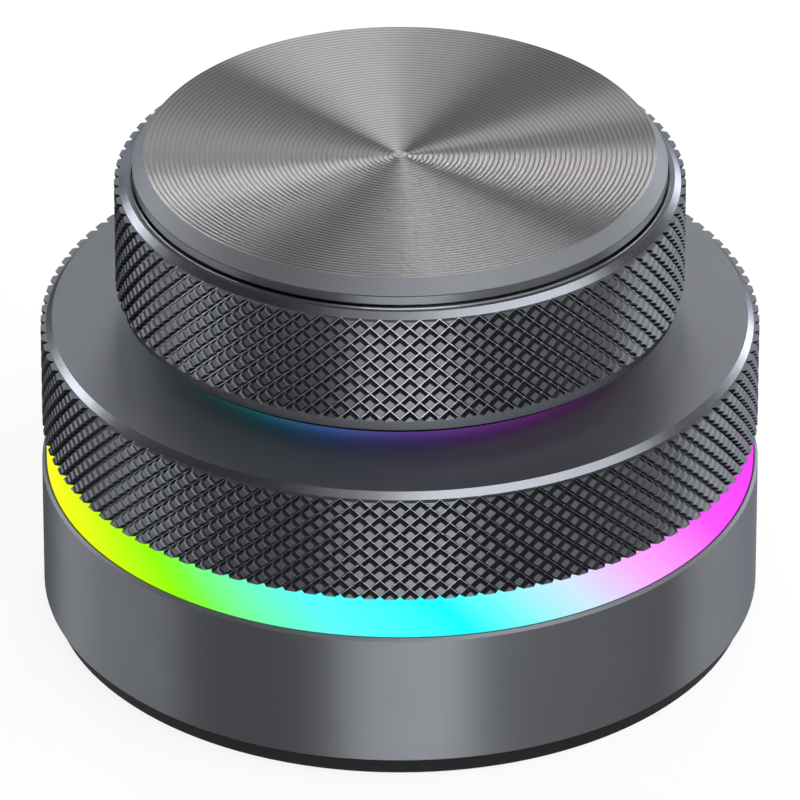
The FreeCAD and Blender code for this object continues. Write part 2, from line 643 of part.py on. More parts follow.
def make_bearing():
    """Thin ball bearing: the inner race is held on the column by a clip, the outer race by the ring hub."""
    for label, inside, outside in (
            ("bearing_inner_race", "column_seat", "ball_circle - race_gap / 2"),
            ("bearing_outer_race", "ball_circle + race_gap / 2", "bearing_radius")):
        race = new_body(label)
        turn_profile(race, [
            (inside, "bearing_low"), (outside, "bearing_low"), (outside, "bearing_top"),
            (inside, "bearing_top")])
        groove_circle(race, "ball_circle", "ball_level", "ball_radius + ball_play")

    balls = new_body("bearing_balls")
    ball = new_feature(balls, "PartDesign::AdditiveSphere", "ball")
    bind(ball, "Radius", "ball_radius")
    ball.AttachmentSupport = (origin_of(balls, "XY_Plane"), "")
    ball.MapMode = "FlatFace"
    bind(ball, ".AttachmentOffset.Base.x", "ball_circle")
    bind(ball, ".AttachmentOffset.Base.z", "ball_level")
    repeat_round(balls, [ball], "ball_count")

    clip = new_body("bearing_clip")
    clip_edge = "clip_seat + clip_width"
    turn_profile(clip, [
        ("clip_seat", "bearing_top"), (clip_edge, "bearing_top"), (clip_edge, "clip_top"),
        ("clip_seat", "clip_top")])
    cut_pocket(clip, "opening", box_at("clip_seat", "0", "2 * clip_seat", "clip_opening"), "bearing_top",
               "clip_height")


def make_knob_support():
    """What stands on the column under the knob: collar, board and halo light."""
    carrier = new_body("board_carrier")
    turn_profile(carrier, [
        ("column_bore", "column_top"), ("carrier_radius", "column_top"), ("carrier_radius", "carrier_top"),
        ("column_bore", "carrier_top")])
    drill_round(carrier, "screw_hole", "small_screw_circle", "small_clear", "column_top", "carrier_height",
                "3", "small_screw_angle")

    board = new_body("knob_board")
    raise_pad(board, "sheet", circle_at("0", "knob_board_radius"), "carrier_top", "knob_board_height")
    drill_round(board, "screw_hole", "small_screw_circle", "small_clear", "carrier_top", "knob_board_height",
                "3", "small_screw_angle")
    cut_pocket(board, "pin_holes", pin_circles("pin_radius + pin_play"), "carrier_top", "knob_board_height")

    make_leds("halo_leds", "halo_led_circle", "halo_led_side", "carrier_top - halo_led_height",
              "halo_led_height")
    diffuser = new_body("halo_diffuser")
    halo_low = "carrier_top - halo_height"
    turn_profile(diffuser, [
        ("halo_inner", halo_low), ("halo_radius", halo_low), ("halo_radius", "carrier_top"),
        ("halo_inner", "carrier_top")])


def make_link():
    """The ribbon that runs up inside the column between the two boards."""
    cable_low, cable_top = "board_top + plug_height", "carrier_top - plug_height"
    for label, width, depth, low, top in (
            ("lower_connector", "plug_width", "plug_depth", "board_top", cable_low),
            ("link_cable", "cable_width", "cable_thickness", cable_low, cable_top),
            ("upper_connector", "plug_width", "plug_depth", cable_top, "carrier_top")):
        body = new_body(label)
        raise_pad(body, "block", box_at("0", "0", width, depth), low, f"{top} - ({low})")


def pin_circles(radius):
    """A draw function for the five encoder pins: three in front of the axis, two behind it."""
    places = [("-pin_pitch", "-pin_row"), ("0", "-pin_row"), ("pin_pitch", "-pin_row"),
              ("-pin_pitch", "pin_row"), ("pin_pitch", "pin_row")]

    def draw(sketch):
        for x, y in places:
            add_circle(sketch, x, y, radius)
    return draw


def make_push_encoder():
    """Encoder under the knob: its shaft is keyed in a rotor, and presses on a snap dome."""
    square = box_at("0", "0", "push_side", "push_side")
    body = new_body("encoder_body")
    raise_pad(body, "block", square, "knob_board_top", "push_height")
    cut_pocket(body, "rotor_chamber", circle_at("0", "chamber_radius"), "chamber_low",
               "push_top - chamber_low")
    cut_pocket(body, "dome_chamber", circle_at("0", "dome_radius + dome_margin"), "dome_low", "dome_depth")

    bushing = new_body("encoder_bushing")
    raise_pad(bushing, "plate", square, "push_top", "bushing_plate")
    raise_pad(bushing, "collar", circle_at("0", "bushing_radius"), "push_top", "bushing_top - push_top")
    cut_pocket(bushing, "bore", circle_at("0", "bushing_bore"), "push_top", "bushing_top - push_top")

    pins = new_body("encoder_pins")
    raise_pad(pins, "pins", pin_circles("pin_radius"), "carrier_top - pin_reach",
              "knob_board_height + pin_reach")

    dome = new_body("snap_dome")
    turn_profile(dome, [
        ("0", "dome_top - dome_sheet"), ("dome_crown", "dome_top - 1.5 * dome_sheet"),
        ("dome_radius - dome_sheet", "dome_low"), ("dome_radius", "dome_low"),
        ("dome_radius", "dome_low + dome_sheet"), ("dome_crown", "dome_top - dome_sheet / 2"),
        ("0", "dome_top")])

    rotor = new_body("encoder_rotor")
    rotor_radius = "chamber_radius - turn_gap"
    turn_profile(rotor, [
        ("0", "rotor_low"), (rotor_radius, "rotor_low"), (rotor_radius, "rotor_top"), ("0", "rotor_top")])
    cut_pocket(rotor, "bore", keyed_hole("key_radius + shaft_play", "key_flat + shaft_play"), "rotor_low",
               "rotor_top - rotor_low")

    shaft = new_body("encoder_shaft")
    turn_profile(shaft, [
        ("0", "dome_top"), ("key_radius", "dome_top"), ("key_radius", "shaft_shoulder"),
        ("shaft_radius", "shaft_shoulder"), ("shaft_radius", "shaft_top"), ("0", "shaft_top")])
    cut_pocket(shaft, "flat", box_at("key_flat + key_radius / 2", "0", "key_radius", "3 * key_radius"),
               "dome_top", "shaft_shoulder - dome_top")


def keyed_hole(radius, flat):
    """A draw function for a D: a circle about the axis with a flat on its +X side."""
    def draw(sketch):
        arc = Part.Arc(FreeCAD.Vector(1, 1, 0), FreeCAD.Vector(-math.sqrt(2), 0, 0), FreeCAD.Vector(1, -1, 0))
        chord = Part.LineSegment(FreeCAD.Vector(1, -1, 0), FreeCAD.Vector(1, 1, 0))
        sketch.addGeometry([arc, chord], False)
        for ends in ((0, 3, -1, 1), (0, 2, 1, 1), (1, 2, 0, 1)):
            sketch.addConstraint(Sketcher.Constraint("Coincident", *ends))
        sketch.addConstraint(Sketcher.Constraint("Vertical", 1))
        radius_held = sketch.addConstraint(Sketcher.Constraint("Radius", 0, math.sqrt(2)))
        flat_held = sketch.addConstraint(Sketcher.Constraint("DistanceX", -1, 1, 1, 1, 1.0))
        bind(sketch, f"Constraints[{radius_held}]", radius)
        bind(sketch, f"Constraints[{flat_held}]", flat)
    return draw


def knurled_bar(teeth, rows, crest, root, low, height):
    """A bar whose side is a net of points, by turns on the crest and on the root. Each mesh of the net is
    folded along its groove, from root to root, so that every crest stands as a four-sided diamond."""
    def point(across, up):
        radius = crest if (across + up) % 2 else root
        turn = math.pi * across / teeth
        level = low + height * up / (2 * rows)
        return FreeCAD.Vector(radius * math.cos(turn), radius * math.sin(turn), level)

    outlines = []
    for across in range(2 * teeth):
        for up in range(2 * rows):
            corners = [point(across, up), point(across + 1, up), point(across + 1, up + 1),
                       point(across, up + 1)]
            if (across + up) % 2:
                corners = corners[1:] + corners[:1]
            outlines += [corners[:3], [corners[0], *corners[2:]]]
    for up in (0, 2 * rows):
        outlines.append([point(across, up) for across in range(2 * teeth)])
    faces = [Part.Face(Part.makePolygon([*outline, outline[0]])) for outline in outlines]
    return Part.Solid(Part.Shell(faces))


def cut_knurl(blank, label, crest, root, low, height):
    """Cut crossed grooves into the plain band of a turned blank. The knurled piece takes its place."""
    rows = round(size_of("knurl_rows"))
    teeth = round(2 * math.pi * size_of(crest) * rows / size_of(height))
    bar = doc.addObject("Part::Feature", f"{label}_bar")
    bar.Shape = knurled_bar(teeth, rows, *map(size_of, (crest, root, low, height)))
    sleeve = doc.addObject("Part::Cylinder", f"{label}_sleeve")
    bind(sleeve, "Radius", f"2 * ({crest})")
    bind(sleeve, "Height", height)
    bind(sleeve, ".Placement.Base.z", low)
    cutter = doc.addObject("Part::Cut", f"{label}_cutter")
    cutter.Base, cutter.Tool = sleeve, bar
    knurled = doc.addObject("Part::Cut", label)
    knurled.Base, knurled.Tool = blank, cutter
    knurled.Label = label
    sub_parts[sub_parts.index(blank)] = knurled


def make_lower_ring():
    """Deck and knurled wall."""
    body = new_body("lower_ring_blank")
    turn_profile(body, [
        ("ring_bore", "ring_bottom"), ("ring_crest", "ring_bottom"), ("ring_crest", "ring_knurl_top"),
        ("neck_radius", "ring_knurl_top"), ("neck_radius", "neck_top"), ("deck_radius", "ring_deck"),
        ("deck_hole", "ring_deck"), ("deck_hole", "deck_low"), ("ring_bore", "deck_low")])
    drill_round(body, "hub_thread", "hub_screw_circle", "tapped_radius", "deck_low",
                "hub_grip + thread_spare", "4", "boss_angle")
    cut_knurl(body, "lower_ring", "ring_crest", "ring_root", "ring_bottom", "ring_knurl")


def make_ring_hub():
    """Flange under the deck, with a sleeve that holds the bearing and is driven by the rotor's tabs."""
    body = new_body("ring_hub")
    turn_profile(body, [
        ("bearing_radius", "hub_low"), ("hub_radius", "hub_low"), ("hub_radius", "bearing_top"),
        ("hub_flange_radius", "bearing_top"), ("hub_flange_radius", "deck_low"), ("hub_bore", "deck_low"),
        ("hub_bore", "bearing_top"), ("bearing_radius", "bearing_top")])
    slot_box = box_at("hub_radius", "0", "2 * hub_wall + tab_width", "tab_width + 2 * tab_play")
    slot = cut_pocket(body, "slot", slot_box, "hub_low", "tab_top + tab_play - hub_low")
    repeat_round(body, [slot], "2", "slots")
    drill_round(body, "screw_hole", "hub_screw_circle", "clear_radius", "bearing_top", "hub_flange_height",
                "4", "boss_angle")


def make_upper_ring():
    """Knurled ring of the knob, with a shoulder inside that the disc and the hub clamp."""
    body = new_body("upper_ring_blank")
    turn_profile(body, [
        ("knob_bore", "knob_bottom"), ("knob_flat", "knob_bottom"), ("knob_neck", "band_low"),
        ("knob_neck", "knob_knurl_low"), ("knob_crest", "knob_knurl_low"), ("knob_crest", "knob_knurl_top"),
        ("knob_neck", "knob_knurl_top"), ("knob_flat", "knob_ring_top"), ("disc_recess", "knob_ring_top"),
        ("disc_recess", "disc_low"), ("shoulder_bore", "disc_low"), ("shoulder_bore", "shoulder_low"),
        ("knob_bore", "shoulder_low")])
    cut_knurl(body, "upper_ring", "knob_crest", "knob_root", "knob_knurl_low", "knob_knurl")


def make_top_disc():
    body = new_body("top_disc")
    turn_profile(body, [
        ("0", "disc_low"), ("disc_radius", "disc_low"), ("disc_radius", "disc_top - disc_chamfer"),
        ("disc_face", "disc_top"), ("0", "disc_top - disc_dish")])
    drill_round(body, "thread", "knob_screw_circle", "tapped_radius", "disc_low", "knob_grip + thread_spare",
                "3", "small_screw_angle")


def make_knob_hub():
    """Moulded hub that clamps the ring against the disc and sits on the encoder shaft."""
    body = new_body("knob_hub")
    turn_profile(body, [
        ("relief_radius", "clamp_low"), ("inner_pocket_from", "clamp_low"),
        ("inner_pocket_from", "pocket_top"), ("inner_pocket_to", "pocket_top"),
        ("inner_pocket_to", "clamp_low"), ("outer_pocket_from", "clamp_low"),
        ("outer_pocket_from", "pocket_top"), ("outer_pocket_to", "pocket_top"),
        ("outer_pocket_to", "clamp_low"), ("clamp_radius", "clamp_low"),
        ("clamp_radius", "shoulder_low"), ("spigot_radius", "shoulder_low"),
        ("spigot_radius", "disc_low"), ("0", "disc_low"), ("0", "shaft_top"), ("shaft_radius", "shaft_top"),
        ("shaft_radius", "relief_top"), ("relief_radius", "relief_top")])
    drill_round(body, "screw_hole", "knob_screw_circle", "clear_radius", "clamp_low", "disc_low - clamp_low",
                "3", "small_screw_angle")


def make_screws(label, circle, seat, tip, rises, head, head_tall, shank, count, angle):
    """Equal cheese-head screws on a circle, with their heads on a seat and their points up or down."""
    body = new_body(label)
    head_low = f"{seat} - {head_tall}" if rises else seat
    low, high = (seat, tip) if rises else (tip, seat)
    head_pad = raise_pad(body, "head", circle_at(circle, head), head_low, head_tall, angle)
    shank_pad = raise_pad(body, "shank", circle_at(circle, shank), low, f"{high} - ({low})", angle)
    repeat_round(body, [head_pad, shank_pad], count)


def make_all_screws():
    large = ("head_radius", "head_height", "thread_radius")
    narrow_head = ("hub_head_radius", "head_height", "thread_radius")
    small = ("small_head", "small_head_height", "small_thread")
    for label, circle, seat, tip, rises, size, count, angle in (
            ("plate_screws", "boss_circle", "sink_top", "plate_top + screw_grip", True, large, "4",
             "boss_angle"),
            ("column_screws", "column_screw_circle", "sink_top", "board_top + screw_grip", True, large, "3",
             "column_screw_angle"),
            ("board_screws", "lane_circle", "board_top", "sink_top + thread_spare", False, large, "2", "0"),
            ("hub_screws", "hub_screw_circle", "bearing_top", "deck_low + hub_grip", True, narrow_head, "4",
             "boss_angle"),
            ("knob_board_screws", "small_screw_circle", "knob_board_top", "column_top - small_grip", False,
             small, "3", "small_screw_angle"),
            ("knob_screws", "knob_screw_circle", "clamp_low", "disc_low + knob_grip", True, large, "3",
             "small_screw_angle")):
        make_screws(label, circle, seat, tip, rises, *size, count, angle)


make_foot()
make_bottom_plate()
make_base_shell()
make_main_board()
make_usb_port()
make_chips()
make_leds("base_leds", "led_circle", "led_side", "board_top", "led_height")
make_light_ring()
make_ring_encoder()
make_column()
make_bearing()
make_knob_support()
make_link()
make_push_encoder()
make_lower_ring()
make_ring_hub()
make_upper_ring()
make_top_disc()
make_knob_hub()
make_all_screws()
doc.recompute()

for feature in doc.Objects:
    if {"Invalid", "Error"} & set(feature.State):
        raise RuntimeError(f"{feature.Name} failed: {feature.State}")
    if feature.TypeId in ("PartDesign::Pocket", "PartDesign::Groove"):
        if feature.Shape.Volume > feature.BaseFeature.Shape.Volume - 1e-3:
            raise RuntimeError(f"{feature.Name} cuts nothing")
    if feature.TypeId == "Part::Cut" and feature.Shape.Volume > feature.Base.Shape.Volume - 1e-3:
        raise RuntimeError(f"{feature.Name} cuts nothing")
for body in sub_parts:
    if body.Shape.isNull() or not body.Shape.isValid():
        raise RuntimeError(f"{body.Label} has no valid shape")

os.makedirs("parts", exist_ok=True)
for body in sub_parts:
    body.Shape.exportStep(f"parts/{body.Label}.step")
    print(f"{body.Label:22} {len(body.Shape.Solids):3} solids {body.Shape.Volume:10.1f} mm3")
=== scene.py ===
import math

import bmesh
import bpy
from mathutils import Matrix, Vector


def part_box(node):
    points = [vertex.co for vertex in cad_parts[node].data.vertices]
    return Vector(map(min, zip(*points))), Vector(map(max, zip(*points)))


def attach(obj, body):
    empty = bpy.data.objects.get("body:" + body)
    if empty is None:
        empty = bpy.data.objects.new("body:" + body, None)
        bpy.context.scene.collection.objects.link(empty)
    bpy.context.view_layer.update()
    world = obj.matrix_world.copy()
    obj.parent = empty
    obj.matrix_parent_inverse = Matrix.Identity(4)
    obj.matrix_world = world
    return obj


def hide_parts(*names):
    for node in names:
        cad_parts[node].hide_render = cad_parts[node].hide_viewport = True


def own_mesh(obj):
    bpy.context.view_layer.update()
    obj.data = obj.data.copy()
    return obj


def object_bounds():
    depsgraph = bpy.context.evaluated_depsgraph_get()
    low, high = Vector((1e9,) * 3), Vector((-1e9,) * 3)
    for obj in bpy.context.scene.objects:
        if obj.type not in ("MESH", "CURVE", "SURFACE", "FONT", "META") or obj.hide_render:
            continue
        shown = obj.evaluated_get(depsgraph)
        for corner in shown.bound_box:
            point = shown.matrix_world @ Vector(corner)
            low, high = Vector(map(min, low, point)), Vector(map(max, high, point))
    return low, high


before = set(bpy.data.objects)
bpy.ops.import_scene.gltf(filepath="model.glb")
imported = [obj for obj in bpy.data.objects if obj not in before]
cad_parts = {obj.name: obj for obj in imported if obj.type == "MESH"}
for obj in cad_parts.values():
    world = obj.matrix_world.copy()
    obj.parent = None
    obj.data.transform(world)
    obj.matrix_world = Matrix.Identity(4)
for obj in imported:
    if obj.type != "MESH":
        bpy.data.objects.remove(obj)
cad_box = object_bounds()

MM = 0.001
TURN = 2 * math.pi


def levels_and_radius(node):
    """A solid's lowest and highest level above the desk and its largest radius, in millimetres."""
    low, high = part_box(node)
    return low.z / MM, high.z / MM, high.x / MM


knob_low, knob_high, knob_crest = levels_and_radius("upper_ring")
ring_low, ring_high, ring_crest = levels_and_radius("lower_ring")
disc_low, disc_high, disc_radius = levels_and_radius("top_disc")
dome_low, dome_high, dome_foot = levels_and_radius("snap_dome")

# Sizes in millimetres. Both knurls have grooves that cross between flat-topped diamonds.
KNURL_ROWS = 6                # diamonds between the two edges of a knurl

# Knob ring
KNOB_TEETH = 91
KNOB_KNURL = 9.3              # height of the knob's knurl
KNOB_GROOVE = 0.40            # depth of its grooves
KNOB_FLOOR = 0.045            # half the width of a groove's floor
KNOB_SIDE = 0.205             # width of a groove's side, seen square on
KNOB_STEP = 0.42              # the plain rim lies this far inside the tips
KNOB_CHAMFER, KNOB_CHAMFER_WIDTH = 0.48, 0.51
KNOB_BAND = 1.03              # plain band under the knurl
KNOB_RIM = 0.47               # flat rim round the disc
KNOB_BEAD = 0.1               # fine raised bead along the inside of that rim
KNOB_BORE = 21.7
SHOULDER_BORE = 20.4          # ledge that the disc sits on
SHOULDER_HEIGHT = 1.8

# Lower ring
RING_TEETH = 114
RING_KNURL = 9.16
RING_GROOVE = 0.44
RING_FLOOR = 0.022
RING_SIDE = 0.228
RING_STEP = 0.48
RING_NECK = 0.02              # plain step above the knurl
RING_CHAMFER_WIDTH = 0.48
RING_BORE = 27.6
DECK_HOLE, DECK_THICKNESS = 12.4, 1.8

# Disc
DISC_SIDES = 240
DISC_CHAMFER, DISC_CHAMFER_WIDTH = 1.16, 0.93
DISC_DISH = 0.45              # the face is this much lower at its middle
DISC_SEAM = 0.09              # fine groove between its side and its chamfer
DISC_FOOT = 0.34              # its side ends this far above the knob's rim
DISC_NECK = 0.45              # the neck under that side is this much smaller
GROOVE_PITCH = 0.42           # spacing of the turned grooves in the face
GROOVE_STEEP, STEEP_LEAN = 0.18, 10           # the outer slope of a groove, and its degrees
GROOVE_GENTLE, GENTLE_LEAN = 0.22, 6          # its inner slope
GROOVE_DROP = 0.01            # a groove's end drops within this width

# Spring dome under the encoder's shaft
DOME_SIDES = 64
DOME_SHEET = 0.12
DOME_RINGS = (2.9, 2.4, 1.8, 1.2, 0.6, 0.1)   # radii at which its curve is drawn

# Tests of where a face lies
SAME_LEVEL = 0.001            # levels closer than this are the same
SAME_RADIUS = 0.03            # a face closer than this to a radius lies on it
WELD = 0.0001                 # a cut takes in the corners that lie closer than this to it
LEVEL_NORMAL = 0.99           # a level face's normal rises at least this much
LEANING_NORMAL = 0.9          # and that of a gently leaning one this much
UPRIGHT_NORMAL = 0.5          # an upright face's normal rises less than this


# ---------------------------------------------------------------- modelling

def nothing_selected():
    """Leaves edit mode and deselects every object, the imported ones too."""
    if bpy.context.object and bpy.context.object.mode != "OBJECT":
        bpy.ops.object.mode_set(mode="OBJECT")
    bpy.ops.object.select_all(action="DESELECT")


def start_circle(sides, radius, level, fill="NOTHING"):
    """Adds a level circle round the axis, and opens it in edit mode."""
    nothing_selected()
    bpy.ops.mesh.primitive_circle_add(vertices=sides, radius=radius * MM, fill_type=fill,
                                      location=(0, 0, level * MM))
    piece = bpy.context.object
    bpy.ops.object.transform_apply(location=True)
    bpy.ops.object.mode_set(mode="EDIT")
    return piece


def select_edges(test):
    """In edit mode, selects the edges that pass a test, and nothing else."""
    bpy.ops.mesh.select_mode(type="EDGE")
    bpy.ops.mesh.select_all(action="DESELECT")
    mesh = bmesh.from_edit_mesh(bpy.context.object.data)
    for edge in mesh.edges:
        if test(edge):
            edge.select_set(True)
    mesh.select_flush_mode()
    bmesh.update_edit_mesh(bpy.context.object.data)


def rim_at(level):
    """Test for the open edges that lie at a level."""
    def test(edge):
        return len(edge.link_faces) < 2 and all(
            abs(vertex.co.z / MM - level) < SAME_LEVEL for vertex in edge.verts)
    return test


def extrude_rim(rise=0.0):
    bpy.ops.mesh.extrude_edges_move(TRANSFORM_OT_translate={"value": (0, 0, rise * MM)})


def turn_on(outline):
    """Turns an outline on from the selected rim: each point extrudes, moves and scales it."""
    for (radius, level), (next_radius, next_level) in zip(outline, outline[1:]):
        extrude_rim(next_level - level)
        ratio = next_radius / radius
        bpy.ops.transform.resize(value=(ratio, ratio, 1), center_override=(0, 0, 0))


def close_on_axis():
    """Closes the selected rim, a small one round the axis, with a fan of faces."""
    extrude_rim()
    bpy.ops.mesh.merge(type="CENTER")


def close_piece():
    """Turns every face outwards and leaves edit mode."""
    bpy.ops.mesh.select_all(action="SELECT")
    bpy.ops.mesh.normals_make_consistent(inside=False)
    bpy.ops.object.mode_set(mode="OBJECT")


def finish_piece(piece, name, body, node, finishes, sharp=30):
    """Names a piece, shades it and puts it in the place of its CAD node. Each finish is a material
    and a test, and covers the faces that pass the test. Edges over the sharp angle stay crisp."""
    nothing_selected()
    piece.name = piece.data.name = name
    piece.select_set(True)
    bpy.context.view_layer.objects.active = piece
    bpy.ops.object.shade_smooth_by_angle(angle=math.radians(sharp))
    for place, (material, test) in enumerate(finishes):
        piece.data.materials.append(material)
        for face in piece.data.polygons:
            if test(face):
                face.material_index = place
    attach(piece, body)
    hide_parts(node)


def everywhere(face):
    return True


def above(level):
    """Test for the faces that lie above a level."""
    return lambda face: face.center.z / MM > level


def knurl_finishes(crest, groove, low, high):
    """The finishes of a knurled ring: satin edges, a blasted top, and in the knurl sides darkened
    with painted shade, turned tops, and floors lightened with a painted highlight."""
    root = crest - groove

    def radius(face):
        return face.center.xy.length / MM

    def level(face):
        return face.normal.z > LEVEL_NORMAL

    def in_knurl(face):
        between = low + SAME_LEVEL < face.center.z / MM < high - SAME_LEVEL
        return between and radius(face) > root - SAME_RADIUS

    def top(face):
        return in_knurl(face) and radius(face) > crest - SAME_RADIUS

    def groove_floor(face):
        return in_knurl(face) and radius(face) < root + SAME_RADIUS

    return [(satin, everywhere), (blasted, level), (shaded_flank, in_knurl), (wall, top),
            (painted_highlight_cut, groove_floor)]


def knurled_tube(teeth, root, depth, floor, side, low, high):
    """A tube of raised diamonds, open at both ends, left in edit mode. One row more at each end is
    cut away, so that the end rows are halved as a lathe tool leaves them."""
    row = (high - low) / KNURL_ROWS
    piece = start_circle(teeth, root, low - row)
    if teeth % 2:       # a column of corners faces the front, as an even number gives
        half_tooth = TURN / teeth / 2
        bpy.ops.transform.rotate(value=half_tooth, orient_axis="Z", center_override=(0, 0, 0))
    for _ in range(KNURL_ROWS + 2):
        extrude_rim(row)
    bpy.ops.mesh.select_all(action="SELECT")
    bpy.ops.mesh.normals_make_consistent(inside=False)
    bpy.ops.mesh.poke()

    def upright_or_level(edge):
        rise = abs(edge.verts[0].co.z - edge.verts[1].co.z) / MM
        return not edge.is_boundary and (rise < SAME_LEVEL or abs(rise - row) < SAME_LEVEL)

    select_edges(upright_or_level)
    bpy.ops.mesh.dissolve_edges(use_verts=False)
    bpy.ops.mesh.select_mode(type="FACE")
    bpy.ops.mesh.select_all(action="SELECT")
    bpy.ops.mesh.inset(thickness=floor * MM, use_individual=True)
    bpy.ops.mesh.inset(thickness=side * MM, depth=depth * MM, use_individual=True)
    for level, upward in ((low, 1), (high, -1)):
        bpy.ops.mesh.select_all(action="SELECT")
        bpy.ops.mesh.bisect(plane_co=(0, 0, level * MM), plane_no=(0, 0, upward),
                            clear_inner=True, threshold=WELD * MM)
    return piece


def knurled_ring(teeth, root, groove, low, high, outline):
    """A knurled tube, closed by an outline that is turned on from its lower rim to its upper one.
    The groove is its depth, its floor and its side."""
    piece = knurled_tube(teeth, root, *groove, low, high)
    select_edges(rim_at(low))
    extrude_rim()
    first_radius = outline[0][0]
    for vertex in bmesh.from_edit_mesh(piece.data).verts:
        if vertex.select:
            vertex.co.xy = vertex.co.xy.normalized() * first_radius * MM
    turn_on(outline)
    select_edges(rim_at(high))
    bpy.ops.mesh.bridge_edge_loops()
    close_piece()
    return piece


def make_knob_ring():
    high = knob_high - KNOB_CHAMFER
    low = high - KNOB_KNURL
    neck = knob_crest - KNOB_STEP
    flat = neck - KNOB_CHAMFER_WIDTH
    recess = flat - KNOB_RIM
    ledge = disc_low - SHOULDER_HEIGHT
    bead_top = knob_high + KNOB_BEAD
    groove = (KNOB_GROOVE, KNOB_FLOOR, KNOB_SIDE)
    piece = knurled_ring(KNOB_TEETH, knob_crest - KNOB_GROOVE, groove, low, high, [
        (neck, low), (neck, low - KNOB_BAND), (flat, knob_low), (KNOB_BORE, knob_low),
        (KNOB_BORE, ledge), (SHOULDER_BORE, ledge), (SHOULDER_BORE, disc_low),
        (recess, disc_low), (recess, bead_top), (recess + KNOB_BEAD, bead_top),
        (recess + KNOB_BEAD, knob_high), (flat, knob_high), (neck, high)])
    # The bead's top takes the lighter finish too: a painted highlight.
    finish_piece(piece, "knob_ring", "knob", "upper_ring",
                 knurl_finishes(knob_crest, KNOB_GROOVE, low, high)
                 + [(painted_highlight_cut, above(knob_high + SAME_LEVEL))])


def make_volume_ring():
    low, high = ring_low, ring_low + RING_KNURL
    neck = ring_crest - RING_STEP
    deck = neck - RING_CHAMFER_WIDTH
    deck_low = ring_high - DECK_THICKNESS
    groove = (RING_GROOVE, RING_FLOOR, RING_SIDE)
    piece = knurled_ring(RING_TEETH, ring_crest - RING_GROOVE, groove, low, high, [
        (neck, low), (RING_BORE, low), (RING_BORE, deck_low), (DECK_HOLE, deck_low),
        (DECK_HOLE, ring_high), (deck, ring_high), (neck, high + RING_NECK), (neck, high)])
    finish_piece(piece, "volume_ring", "ring", "lower_ring",
                 knurl_finishes(ring_crest, RING_GROOVE, low, high))


def make_turned_disc():
    """The disc with its fine turned grooves and its dished face. Each groove rises outwards in two
    slopes and drops back in one step, as a pointed tool leaves it."""
    face = disc_radius - DISC_CHAMFER_WIDTH
    neck = disc_radius - DISC_NECK
    foot = knob_high + DISC_FOOT
    side_top = disc_high - DISC_CHAMFER - DISC_SEAM
    steep = GROOVE_STEEP * math.tan(math.radians(STEEP_LEAN))
    deep = steep + GROOVE_GENTLE * math.tan(math.radians(GENTLE_LEAN))

    def surface(radius):
        return disc_high - DISC_DISH * (1 - radius / face)

    outline = [(GROOVE_PITCH / 2, disc_low), (neck, disc_low), (neck, foot), (disc_radius, foot),
               (disc_radius, side_top), (disc_radius - DISC_SEAM, side_top + DISC_SEAM / 2),
               (disc_radius, disc_high - DISC_CHAMFER), (face, disc_high)]
    for groove in range(int(face / GROOVE_PITCH) - 1):
        crest = face - groove * GROOVE_PITCH
        bend, next_crest = crest - GROOVE_STEEP, crest - GROOVE_PITCH
        outline += [(bend, surface(bend) - steep),
                    (next_crest + GROOVE_DROP, surface(next_crest) - deep),
                    (next_crest, surface(next_crest))]
    piece = start_circle(DISC_SIDES, *outline[0], fill="NGON")
    select_edges(lambda edge: True)
    turn_on(outline)
    close_on_axis()
    close_piece()

    above_side = above(side_top)

    def on_face(polygon):
        return above_side(polygon) and polygon.normal.z > LEANING_NORMAL

    def steep_slope(polygon):
        return on_face(polygon) and polygon.normal.z < LEVEL_NORMAL

    def drop(polygon):
        inside = polygon.center.xy.length / MM < face - GROOVE_DROP
        return above_side(polygon) and inside and abs(polygon.normal.z) < UPRIGHT_NORMAL

    # The grooves' steep slopes and drops take darker finishes: painted shade.
    finish_piece(piece, "turned_disc", "knob", "top_disc",
                 [(wall, everywhere), (soft_satin, above_side), (face_finish, on_face),
                  (painted_shade_slope, steep_slope), (painted_shade_drop, drop)], sharp=8)


def make_spring_dome():
    """The thin steel dome under the encoder's shaft. It gives way when the knob is pressed."""
    def surface(radius):
        return dome_high - (dome_high - dome_low - DOME_SHEET) * (radius / dome_foot) ** 2

    inner_foot = (dome_foot - DOME_SHEET, dome_low)
    over = [inner_foot, (dome_foot, dome_low), (dome_foot, dome_low + DOME_SHEET)]
    over += [(radius, surface(radius)) for radius in DOME_RINGS]
    under = [inner_foot] + [(radius, surface(radius) - DOME_SHEET) for radius in DOME_RINGS]
    piece = start_circle(DOME_SIDES, *inner_foot)
    for outline in (over, under):
        select_edges(rim_at(dome_low))
        turn_on(outline)
        close_on_axis()
    close_piece()
    finish_piece(piece, "spring_dome", "base", "snap_dome", [(steel, everywhere)])
    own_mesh(piece)


# ---------------------------------------------------------------- materials

NOISE_LOW, NOISE_HIGH = 0.3, 0.7       # nearly all of a noise texture lies between these
GLOSS_SPREAD = 0.03                    # how much the grain varies an anodised roughness
CLOUD_TINT, MARKS_TINT, MOULD_TINT = 6, 8, 5     # steps of 255 by which each varies the colour
DYE = "#808080"                        # the dye dulls the metal's edge-on shine by half
ACROSS_THE_MARKS = 0.25                # a quarter turn, so that a reflection spreads across them
CLOUD = 6                              # size in millimetres of the dye's faint clouds
BEVEL_RISE = 0.3                       # a bevelled face's normal rises more than this
THREAD = 0.5                           # thread spacing of the boards' glass weave
MASK_RELIEF = 0.01                     # millimetres that it shows through the solder mask
WAVES_PER_UNIT = 20                    # a wave texture draws one wave in a twentieth of its unit


def linear(code):
    """The linear RGBA colour of an sRGB hex code."""
    channels = [int(code[place:place + 2], 16) / 255 for place in (1, 3, 5)]
    return (*(c / 12.92 if c <= 0.04045 else ((c + 0.055) / 1.055) ** 2.4 for c in channels), 1)


